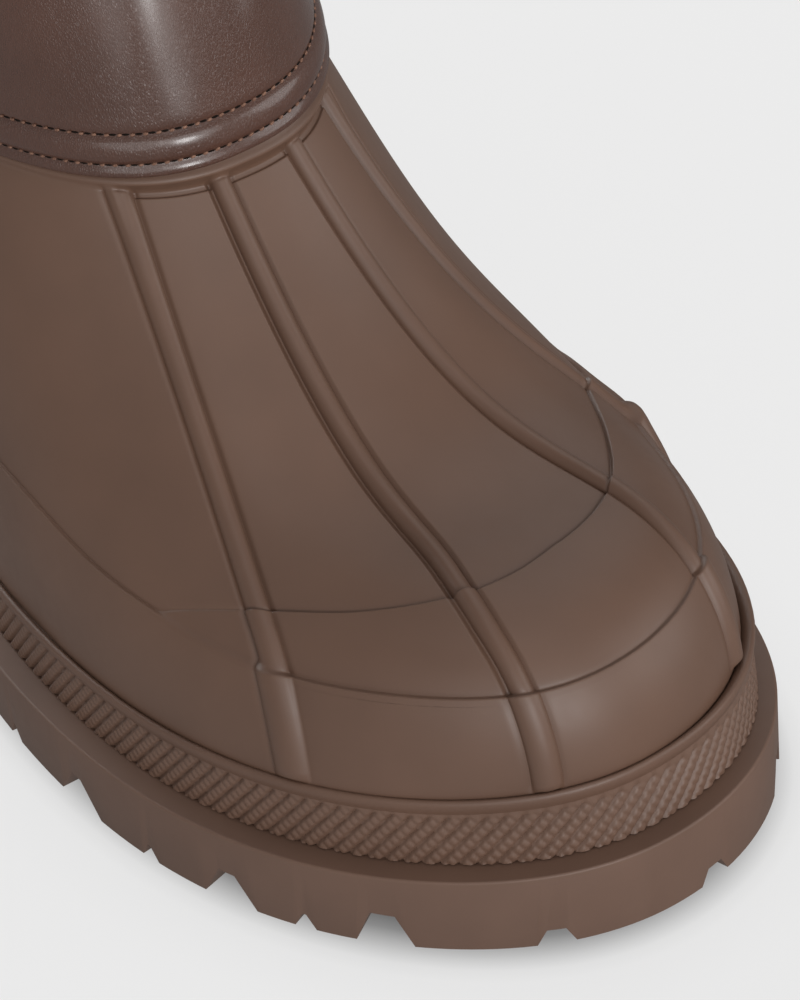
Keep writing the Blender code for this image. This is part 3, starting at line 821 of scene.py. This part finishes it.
def leather_point(height, fraction, proud=0.0):
    """Point on the leather's outer face; the hem hangs a little lower on the lateral side."""
    point = shaft_ring(height, -proud, fraction)
    drop = HEM_DROP - HEM_TILT * np.sin(2 * np.pi * fraction)
    point[:, 2] -= drop * (1 - ease(height / HEM_FADE))
    return point


def make_shaft(materials):
    """Leather leg with a turned hem at the bottom, a turned top edge and a lined inside."""
    fraction = np.arange(LEATHER_COLUMNS) / LEATHER_COLUMNS
    rings = []
    for turn in np.linspace(-0.5 * np.pi, 0.5 * np.pi, ROUND_STEPS)[:-1]:
        inset = HEM_RADIUS * (1 - np.sin(turn)) - HEM_PROUD
        rings.append(leather_point(HEM_RADIUS * (1 - np.cos(turn)), fraction, -inset))
    heights = [height * MM for height in LEATHER_LOW]
    heights += list(np.linspace(LEG_START, LEG_TOP, LEG_ROWS))
    for height in heights:
        point = leather_point(height, fraction)
        outward = unit(leather_point(height, fraction, MM) - point)
        rings.append(point + outward * leather_relief(height, fraction)[:, None])
    for turn in np.linspace(0, np.pi, ROUND_STEPS)[1:]:
        inset = LEATHER / 2 * (1 - np.cos(turn))
        drop = LEATHER / 2 * (1 - np.sin(turn))
        rings.append(leather_point(SHAFT_HEIGHT - drop, fraction, -inset))
    outside = len(rings)
    for height in np.linspace(SHAFT_HEIGHT - LINING_DROP, LINING_FOOT, LINING_ROWS):
        rings.append(leather_point(height, fraction, -LEATHER))
    slots = [0] * outside + [1] * LINING_ROWS
    return new_object("leather_leg", loft(rings, True, slots), materials, ROUND_SHARP_ANGLE)


def ball_template():
    """Vertices and faces of a unit ball with poles on X."""
    bm = bmesh.new()
    bmesh.ops.create_uvsphere(bm, u_segments=BALL_STEPS, v_segments=BALL_STEPS, radius=1)
    bmesh.ops.rotate(bm, matrix=Matrix.Rotation(np.pi / 2, 3, "Y"), verts=bm.verts)
    verts = np.array([vert.co for vert in bm.verts])
    faces = [[vert.index for vert in face.verts] for face in bm.faces]
    bm.free()
    return verts, faces


def scatter(name, frames, length, thickness, material):
    """Joined mesh of balls drawn out to a length, one at each frame of (centre, along, up, outward)."""
    verts, faces = ball_template()
    size = verts * np.array([length / 2, thickness / 2, thickness / 2])
    points = []
    polygons = []
    for centre, forward, upward, outward in frames:
        start = len(points) * len(verts)
        points.append(centre + size @ np.array([forward, upward, outward]) + MIDDLE)
        polygons.extend([[start + i for i in face] for face in faces])
    mesh = bpy.data.meshes.new(name)
    mesh.from_pydata(np.vstack(points).tolist(), [], polygons)
    mesh.shade_smooth()
    return add_piece(name, mesh, [material])


def seam_frames(height, shift, lift, tilt):
    """Frames of (centre, along, up, outward) along a stitch row, one for each stitch."""
    length = arc_lengths(leather_point(height, np.arange(LOOP_STEPS) / LOOP_STEPS))[1][-1]
    count = int(round(length / STITCH_PITCH))
    fraction = (np.arange(count) + shift) / count
    centre = leather_point(height, fraction)
    outward = unit(leather_point(height, fraction, MM) - centre)
    centre = centre + outward * (leather_relief(height, fraction)[:, None] + lift)
    ahead = leather_point(height, fraction + SMALL_STEP)
    forward = unit(ahead - leather_point(height, fraction - SMALL_STEP))
    upward = np.cross(outward, forward)
    tilted = np.cos(tilt) * forward + np.sin(tilt) * upward
    crossed = np.cos(tilt) * upward - np.sin(tilt) * forward
    return list(zip(centre, tilted, crossed, outward))


def make_stitches(thread_material, hole_shadow_material):
    """Two rows of thread, each stitch between two needle holes; the holes are near-black balls with their
    shade painted on.
    """
    stitches = []
    holes = []
    for height in STITCH_ROWS:
        stitches += seam_frames(height, 0.0, STITCH_LIFT, STITCH_TILT)
        holes += seam_frames(height, 0.5, HOLE_LIFT, 0.0)
    threads = scatter("stitch_threads", stitches, STITCH_LENGTH, STITCH_THICK, thread_material)
    hole_shadows = scatter("stitch_hole_shadows", holes, HOLE_LENGTH, HOLE_THICK, hole_shadow_material)
    return threads, hole_shadows


# Sole

SOLE_COLUMNS = 320
SOLE_ROUND_STEPS = 5
INSOLE_ROUND_STEPS = 6


def make_grip_band(materials):
    """Band between outsole and upper, with leaning bars on its side that cross cuts divide."""
    base = SIDE_WALL + GAP
    loop = band_loop(LEDGE + BAND_LEAN)
    length = arc_lengths(loop)[1][-1]
    repeats = 2 * int(round(length / KNURL_PITCH / 2))
    columns = repeats * KNURL_STEPS
    fraction = np.arange(columns) / columns
    cell = fraction * repeats
    plan = along(loop, fraction)
    outward = right_of(along(loop, fraction + SMALL_STEP) - along(loop, fraction - SMALL_STEP))
    heights = list(np.linspace(0, KNURL_TOP + KNURL_MARGIN, KNURL_ROWS))
    heights += [BAND_HEIGHT - BAND_EDGE, BAND_HEIGHT]
    levels = [(along(band_loop(LEDGE + 2 * BAND_LEAN), fraction), 0)]
    for height in heights:
        groove = np.abs((cell - height / KNURL_RISE) % 1 - 0.5) * 2 / GROOVE_PART
        cross_cut = np.abs((CUTS_PER_BAR * cell + height / CUT_RISE) % 1 - 0.5) * 2 / CUT_PART
        depth = np.maximum(1 - ease(groove), CUT_DEPTH * (1 - ease(cross_cut)))
        inside = ease((KNURL_TOP - height) / KNURL_FADE + 0.5)
        lean = BAND_LEAN * (1 - height / BAND_HEIGHT) + BAND_PROUD
        levels.append((plan + outward * (lean - KNURL_DEPTH * depth * inside)[:, None], height))
    levels.append((along(band_loop(LEDGE + 3 * BAND_LEAN), fraction), BAND_HEIGHT))
    rings = [ring(side, base + height + sole_rise(side[:, 0])) for side, height in levels]
    return new_object("grip_band", loft(rings, False), materials, ROUND_SHARP_ANGLE)


def notch_cutter(bm, row):
    """Tapered block for one notch between lugs, cut on both sides of the toe's middle."""
    way, foot, top, depth, reach = (size * MM for size in row)
    length = arc_lengths(OUTLINE)[1][-1]
    for side in (-1, 1):
        fraction = (TOE_MIDDLE + side * way) / length
        spot, ahead, behind = along(OUTLINE, fraction + np.array([0, NUDGE, -NUDGE]))
        tangent = Vector((*(ahead - behind), 0)).normalized()
        inward = Vector((-tangent.y, tangent.x, 0))
        floor = sole_floor(spot[0])
        widen = (foot - top) / depth * CUTTER_SLACK
        verts = bmesh.ops.create_cube(bm, size=2)["verts"]
        for vert in verts:
            high = vert.co.z > 0
            half = top / 2 if high else (foot + widen) / 2
            deep = reach if vert.co.y > 0 else -CUTTER_SLACK
            lift = floor + depth if high else floor - CUTTER_SLACK
            vert.co = Vector((*spot, lift)) + tangent * vert.co.x * half + inward * deep


def tread_bar(bm, x):
    """Box for one groove across the tread."""
    lateral, medial = (width * MM for width in columns_at(SOLE_PLAN, x))
    ends = np.sqrt(1 - abs(x * MM / HALF_LENGTH) ** LATERAL_TOE_POWER)
    inner = TREAD_INSET + TREAD_WIDTH / 2
    low = inner - lateral * ends
    high = medial * ends - inner
    top = sole_floor(x * MM) + TREAD_DEPTH
    centre = Matrix.Translation((x * MM, (low + high) / 2, (top - CUTTER_SLACK) / 2))
    size = Matrix.Diagonal((TREAD_WIDTH, high - low, top + CUTTER_SLACK, 1))
    bmesh.ops.create_cube(bm, size=1, matrix=centre @ size)


def tread_channel():
    """Ring for the channel inside the outer lugs."""
    rings = []
    for part, high in CHANNEL_SECTION:
        plan = along(sole_loop(TREAD_INSET + part * TREAD_WIDTH), np.arange(SOLE_COLUMNS) / SOLE_COLUMNS)
        floor = sole_floor(plan[:, 0])
        rings.append(ring(plan, floor + TREAD_DEPTH if high else floor - CUTTER_SLACK))
    return loft(rings, True)


def apply_modifiers(piece):
    """Bake a piece's modifiers into its mesh."""
    graph = bpy.context.evaluated_depsgraph_get()
    mesh = bpy.data.meshes.new_from_object(piece.evaluated_get(graph))
    piece.modifiers.clear()
    piece.data = mesh


def cut(piece, name, bm):
    """Take a cutter's form out of a piece and remove the cutter."""
    cutter = new_object(name, bm, [])
    difference = piece.modifiers.new(name, "BOOLEAN")
    difference.operation = "DIFFERENCE"
    difference.solver = "EXACT"
    difference.object = cutter
    apply_modifiers(piece)
    bpy.data.objects.remove(cutter)


def make_outsole(materials):
    """Lugged sole: side wall with a rounded top edge, ledge, notches and tread with softened edges."""
    foot = along(sole_loop(SIDE_DRAFT), np.arange(SOLE_COLUMNS) / SOLE_COLUMNS)
    rings = [ring(foot, sole_floor(foot[:, 0]))]
    for turn in np.linspace(0, np.pi / 2, SOLE_ROUND_STEPS):
        inset = SIDE_ROUND * (1 - np.cos(turn))
        rings.append(sole_ring(inset, SIDE_WALL - SIDE_ROUND * (1 - np.sin(turn)), SOLE_COLUMNS))
    slots = [0] * (len(rings) - 2) + [1]
    bm = loft(rings, False, slots)
    # The ledge's flat faces take the lighter ledge copy of the outsole rubber: painted light on the sole's
    # top face
    for face in bm.faces:
        heights = [vert.co.z for vert in face.verts]
        at_ledge = len(heights) == 4 and face.calc_center_median().z > SIDE_WALL * LEDGE_LEVEL
        if at_ledge and max(heights) - min(heights) < LEDGE_FLAT:
            face.material_index = 1
    sole = new_object("lugged_sole", bm, materials)
    notches = bmesh.new()
    for row in LUG_NOTCHES:
        notch_cutter(notches, row)
    bars = bmesh.new()
    for x in TREAD_BARS:
        tread_bar(bars, x)
    for name, form in (("notches", notches), ("channel", tread_channel()), ("bars", bars)):
        cut(sole, name, form)
    soften = sole.modifiers.new("soften", "BEVEL")
    soften.width = SOFTEN_WIDTH
    soften.segments = SOFTEN_SEGMENTS
    soften.limit_method = "ANGLE"
    soften.angle_limit = np.radians(SOFTEN_ANGLE)
    apply_modifiers(sole)
    sole.data.set_sharp_from_angle(angle=np.radians(SOLE_SHARP_ANGLE))
    return sole


def make_insole(materials):
    """Felt footbed with a soft edge."""
    inset = WELT_INSET + SUNK + RUBBER_WALL + 3 * GAP
    base = SIDE_WALL + BAND_HEIGHT + 2 * GAP
    edge = INSOLE_THICKNESS / 4
    rings = [sole_ring(inset, base, SOLE_COLUMNS)]
    for turn in np.linspace(0, np.pi / 2, INSOLE_ROUND_STEPS):
        height = base + INSOLE_THICKNESS - edge * (1 - np.sin(turn))
        rings.append(sole_ring(inset + edge * (1 - np.cos(turn)), height, SOLE_COLUMNS))
    return new_object("felt_insole", loft(rings, False), materials)


# Materials

RUBBERS = (
    # name, linear colour, roughness
    ("shell_rubber", (0.102, 0.055, 0.036), 0.47),
    ("outsole_rubber", (0.109, 0.061, 0.042), 0.55),
    # The ledge's copy of the outsole rubber is a little lighter: painted light on the sole's top face; its
    # lower roughness is the ledge's smoother finish
    ("ledge_rubber_lit", (0.113, 0.063, 0.043), 0.50),
    ("band_rubber", (0.116, 0.065, 0.044), 0.52),
)
GLOSS_SPREAD = 0.05
LEATHER_COLOUR = (0.062, 0.0272, 0.0182)
LEATHER_STRETCH = (1, 1, 0.4)
CELL_WARP = (0.0006, 0.0006, 0.0006)
LINING_COLOUR = (0.14, 0.10, 0.075)
FELT_COLOUR = (0.16, 0.12, 0.09)
THREAD_COLOUR = (0.24, 0.125, 0.08)
THREAD_DARK = (0.10, 0.047, 0.03)
THREAD_LIGHT = (0.23, 0.125, 0.085)
# Near-black of the needle holes: painted shadow
HOLE_SHADOW_COLOUR = (0.006, 0.004, 0.003)
FLOOR_COLOUR = (0.12, 0.12, 0.12)
FLOOR_DARK = (0.118, 0.118, 0.118)
FLOOR_LIGHT = (0.122, 0.122, 0.122)


def shader_of(name, colour, roughness, specular):
    """New material with a Principled shader."""
    material = bpy.data.materials.new(name)
    material.use_nodes = True
    shader = material.node_tree.nodes["Principled BSDF"]
    shader.inputs["Base Color"].default_value = (*colour, 1)
    shader.inputs["Roughness"].default_value = roughness
    shader.inputs["Specular IOR Level"].default_value = specular
    return material, material.node_tree, shader


def add_node(tree, kind, **values):
    """Node with input values set by name."""
    node = tree.nodes.new(kind)
    for name, value in values.items():
        node.inputs[name.replace("_", " ")].default_value = value
    return node


def object_place(tree, stretch=(1, 1, 1)):
    """Object coordinates, stretched."""
    place = tree.nodes.new("ShaderNodeTexCoord")
    mapping = tree.nodes.new("ShaderNodeMapping")
    mapping.inputs["Scale"].default_value = stretch
    tree.links.new(place.outputs["Object"], mapping.inputs["Vector"])
    return mapping.outputs["Vector"]


def noise(tree, place, scale, detail, roughness=0.5):
    """Noise texture's value."""
    node = add_node(tree, "ShaderNodeTexNoise", Scale=scale, Detail=detail, Roughness=roughness)
    tree.links.new(place, node.inputs["Vector"])
    return node.outputs["Fac"]


def tint(colour, part):
    """Colour with every channel times a part."""
    return tuple(channel * part for channel in colour)


def vary_colour(tree, shader, value, low, high):
    """Let a value move a shader's colour between two (position, colour) stops."""
    node = tree.nodes.new("ShaderNodeValToRGB")
    for element, (position, colour) in zip(node.color_ramp.elements, (low, high)):
        element.position = position
        element.color = (*colour, 1)
    tree.links.new(value, node.inputs["Fac"])
    tree.links.new(node.outputs["Color"], shader.inputs["Base Color"])


def to_range(tree, value, low, high):
    """Value from 0..1 moved to low..high."""
    node = add_node(tree, "ShaderNodeMapRange", To_Min=low, To_Max=high)
    tree.links.new(value, node.inputs["Value"])
    return node.outputs["Result"]


def bump(tree, height, distance, strength, normal=None):
    """Bump node over a height value."""
    node = add_node(tree, "ShaderNodeBump", Strength=strength, Distance=distance)
    tree.links.new(height, node.inputs["Height"])
    if normal:
        tree.links.new(normal, node.inputs["Normal"])
    return node.outputs["Normal"]


def rubber(name, colour, roughness):
    """Satin moulded rubber: faint mottling, uneven gloss and a fine mould grain."""
    material, tree, shader = shader_of(name, colour, roughness, specular=0.45)
    place = object_place(tree)
    mottle = noise(tree, place, scale=55, detail=4)
    vary_colour(tree, shader, mottle, (0.3, tint(colour, 0.93)), (0.7, tint(colour, 1.06)))
    gloss = noise(tree, place, scale=320, detail=3)
    rough = to_range(tree, gloss, roughness - GLOSS_SPREAD, roughness + GLOSS_SPREAD)
    tree.links.new(rough, shader.inputs["Roughness"])
    grain = noise(tree, place, scale=2600, detail=2)
    tree.links.new(bump(tree, grain, distance=0.02 * MM, strength=0.35), shader.inputs["Normal"])
    return material


def leather():
    """Smooth dark leather: fine upright wrinkles, small cells, uneven gloss under a clear coat."""
    material, tree, shader = shader_of("leather", LEATHER_COLOUR, roughness=0.36, specular=0.26)
    shader.inputs["Coat Weight"].default_value = 0.75
    shader.inputs["Coat Roughness"].default_value = 0.19
    place = object_place(tree)
    upright = object_place(tree, LEATHER_STRETCH)
    mottle = noise(tree, place, scale=38, detail=5)
    dark = tint(LEATHER_COLOUR, 0.82)
    vary_colour(tree, shader, mottle, (0.3, dark), (0.72, tint(LEATHER_COLOUR, 1.18)))
    warp = add_node(tree, "ShaderNodeTexNoise", Scale=900, Detail=2)
    tree.links.new(upright, warp.inputs["Vector"])
    moved = add_node(tree, "ShaderNodeVectorMath")
    moved.operation = "MULTIPLY_ADD"
    moved.inputs[1].default_value = CELL_WARP
    tree.links.new(warp.outputs["Color"], moved.inputs[0])
    tree.links.new(upright, moved.inputs[2])
    cells = add_node(tree, "ShaderNodeTexVoronoi", Scale=2600)
    cells.feature = "DISTANCE_TO_EDGE"
    tree.links.new(moved.outputs["Vector"], cells.inputs["Vector"])
    edge = add_node(tree, "ShaderNodeMapRange", From_Max=0.25)
    tree.links.new(cells.outputs["Distance"], edge.inputs["Value"])
    wrinkles = noise(tree, upright, scale=1000, detail=4, roughness=0.6)
    first = bump(tree, wrinkles, distance=0.22 * MM, strength=0.36)
    second = bump(tree, edge.outputs["Result"], distance=0.08 * MM, strength=0.7, normal=first)
    tree.links.new(second, shader.inputs["Normal"])
    gloss = noise(tree, place, scale=130, detail=3)
    tree.links.new(to_range(tree, gloss, 0.3, 0.42), shader.inputs["Roughness"])
    return material


def cloth(name, colour, scale):
    """Felt or textile: fibres in one noise, no gloss."""
    material, tree, shader = shader_of(name, colour, roughness=0.92, specular=0.2)
    fibres = noise(tree, object_place(tree), scale, detail=5, roughness=0.7)
    vary_colour(tree, shader, fibres, (0.3, tint(colour, 0.75)), (0.7, tint(colour, 1.2)))
    tree.links.new(bump(tree, fibres, distance=0.25 * MM, strength=0.5), shader.inputs["Normal"])
    return material


def thread():
    """Twisted sewing thread."""
    material, tree, shader = shader_of("thread", THREAD_COLOUR, roughness=0.75, specular=0.3)
    strands = noise(tree, object_place(tree), scale=2400, detail=2)
    vary_colour(tree, shader, strands, (0.3, THREAD_DARK), (0.7, THREAD_LIGHT))
    tree.links.new(bump(tree, strands, distance=0.05 * MM, strength=0.6), shader.inputs["Normal"])
    return material


def hole():
    """Shadow in a needle hole."""
    material, tree, shader = shader_of("needle_hole_shadow", HOLE_SHADOW_COLOUR, roughness=0.9, specular=0.1)
    torn = noise(tree, object_place(tree), scale=1800, detail=2)
    tree.links.new(bump(tree, torn, distance=0.05 * MM, strength=0.4), shader.inputs["Normal"])
    return material


def floor_material():
    """Pale light table: a matt sheet that glows evenly, with a painted contact shadow where its emission
    fades under and round the boot, and takes soft shadows.
    """
    material, tree, shader = shader_of("studio_floor", FLOOR_COLOUR, roughness=0.8, specular=0.1)
    shader.inputs["Emission Color"].default_value = (1, 1, 1, 1)
    patches = noise(tree, object_place(tree), scale=3, detail=2)
    vary_colour(tree, shader, patches, (0.2, FLOOR_DARK), (0.8, FLOOR_LIGHT))
    # Emission strength follows an attribute that is lower round and under the boot: painted contact shadow
    glow_with_painted_shadow = tree.nodes.new("ShaderNodeAttribute")
    glow_with_painted_shadow.attribute_name = "glow_with_painted_shadow"
    tree.links.new(to_range(tree, glow_with_painted_shadow.outputs["Fac"], 0, FLOOR_GLOW), shader.inputs["Emission Strength"])
    return material


# Stage

FLOOR_SHADOW_RINGS = (
    # way outside the sole's outline in mm, part of the floor's emission there, lower near and under the
    # sole as a painted contact shadow
    (-14, 0.0),
    (-6, 0.3),
    (-1, 0.7),
    (2, 0.92),
    (5, 0.98),
    (16, 1.0),
)
FLOOR_COLUMNS = 240
FLOOR_REACH = 6.0


def make_floor():
    """Wide pale floor, with rings round the sole along which its emission falls off: a painted contact
    shadow.
    """
    fraction = np.arange(FLOOR_COLUMNS) / FLOOR_COLUMNS
    ways, parts = zip(*FLOOR_SHADOW_RINGS)
    rings = [ring(along(sole_loop(-way * MM), fraction), 0) for way in ways]
    rings.append(unit(rings[-1]) * FLOOR_REACH)
    points = np.vstack(rings + [np.zeros((1, 3))]) + MIDDLE
    faces = []
    for column in range(FLOOR_COLUMNS):
        ahead = (column + 1) % FLOOR_COLUMNS
        faces.append((len(points) - 1, column, ahead))
        for row in range(len(rings) - 1):
            low = row * FLOOR_COLUMNS
            high = low + FLOOR_COLUMNS
            faces.append((low + column, high + column, high + ahead, low + ahead))
    mesh = bpy.data.meshes.new("floor")
    mesh.from_pydata(points.tolist(), [], faces)
    # Per-ring emission part, falling off near and under the sole: painted contact shadow
    glow_with_painted_shadow = mesh.attributes.new("glow_with_painted_shadow", "FLOAT", "POINT")
    glow_with_painted_shadow.data.foreach_set("value", [*np.repeat([*parts, 1.0], FLOOR_COLUMNS), 0.0])
    floor = add_piece("floor", mesh, [floor_material()])
    floor.visible_glossy = False


def add_light(name, azimuth, elevation, strength, spread):
    """Far soft light from a direction."""
    data = bpy.data.lights.new(name, "SUN")
    data.energy = strength
    data.angle = np.radians(spread)
    turn, lift = np.radians([azimuth, elevation])
    towards = Vector((np.cos(turn) * np.cos(lift), np.sin(turn) * np.cos(lift), np.sin(lift)))
    light = bpy.data.objects.new(name, data)
    light.rotation_euler = towards.to_track_quat("Z", "Y").to_euler()
    light.location = towards * LIGHT_DISTANCE
    bpy.context.scene.collection.objects.link(light)


def make_lights():
    """Soft studio light: wide suns from all round, most of them low, in a dim room."""
    scene = bpy.context.scene
    scene.view_settings.view_transform = "Standard"
    world = bpy.data.worlds.new("studio")
    world.use_nodes = True
    background = world.node_tree.nodes["Background"]
    background.inputs["Color"].default_value = (1, 1, 1, 1)
    background.inputs["Strength"].default_value = ROOM_LIGHT
    scene.world = world
    for light in LIGHTS:
        add_light(*light)


def make_camera():
    """Camera at the photograph's angle, with its roll."""
    azimuth, elevation, roll = np.radians([CAMERA_AZIMUTH, CAMERA_ELEVATION, CAMERA_ROLL])
    back = np.array([np.sin(azimuth) * np.cos(elevation), -np.cos(azimuth) * np.cos(elevation),
                     np.sin(elevation)])
    right = np.array([np.cos(azimuth), np.sin(azimuth), 0])
    upward = np.cross(back, right)
    rolled_right = np.cos(roll) * right + np.sin(roll) * upward
    rolled_up = np.cos(roll) * upward - np.sin(roll) * right
    place = np.array(CAMERA_TARGET) + MIDDLE + back * CAMERA_DISTANCE
    data = bpy.data.cameras.new("camera")
    data.lens = CAMERA_LENS
    data.sensor_width = SENSOR_WIDTH
    data.clip_start = CAMERA_NEAR
    camera = bpy.data.objects.new("camera", data)
    camera.matrix_world = Matrix.Translation(Vector(place)) @ Matrix(
        np.column_stack([rolled_right, rolled_up, back]).tolist()).to_4x4()
    bpy.context.scene.collection.objects.link(camera)
    bpy.context.scene.camera = camera


def main():
    """Make, dress and stage everything."""
    shell, side, ledge, band = (rubber(*look) for look in RUBBERS)
    lining = cloth("lining", LINING_COLOUR, scale=900)
    felt = cloth("felt", FELT_COLOUR, scale=1400)
    dress(make_rubber_shell([shell, lining]), "rubber_shell")
    dress(make_shaft([leather(), lining]), "shaft")
    for piece in make_stitches(thread(), hole()):
        dress(piece, None)
    dress(make_grip_band([band]), "midsole")
    dress(make_outsole([side, ledge]), "outsole")
    dress(make_insole([felt]), "insole")
    make_floor()
    make_lights()
    make_camera()


main()
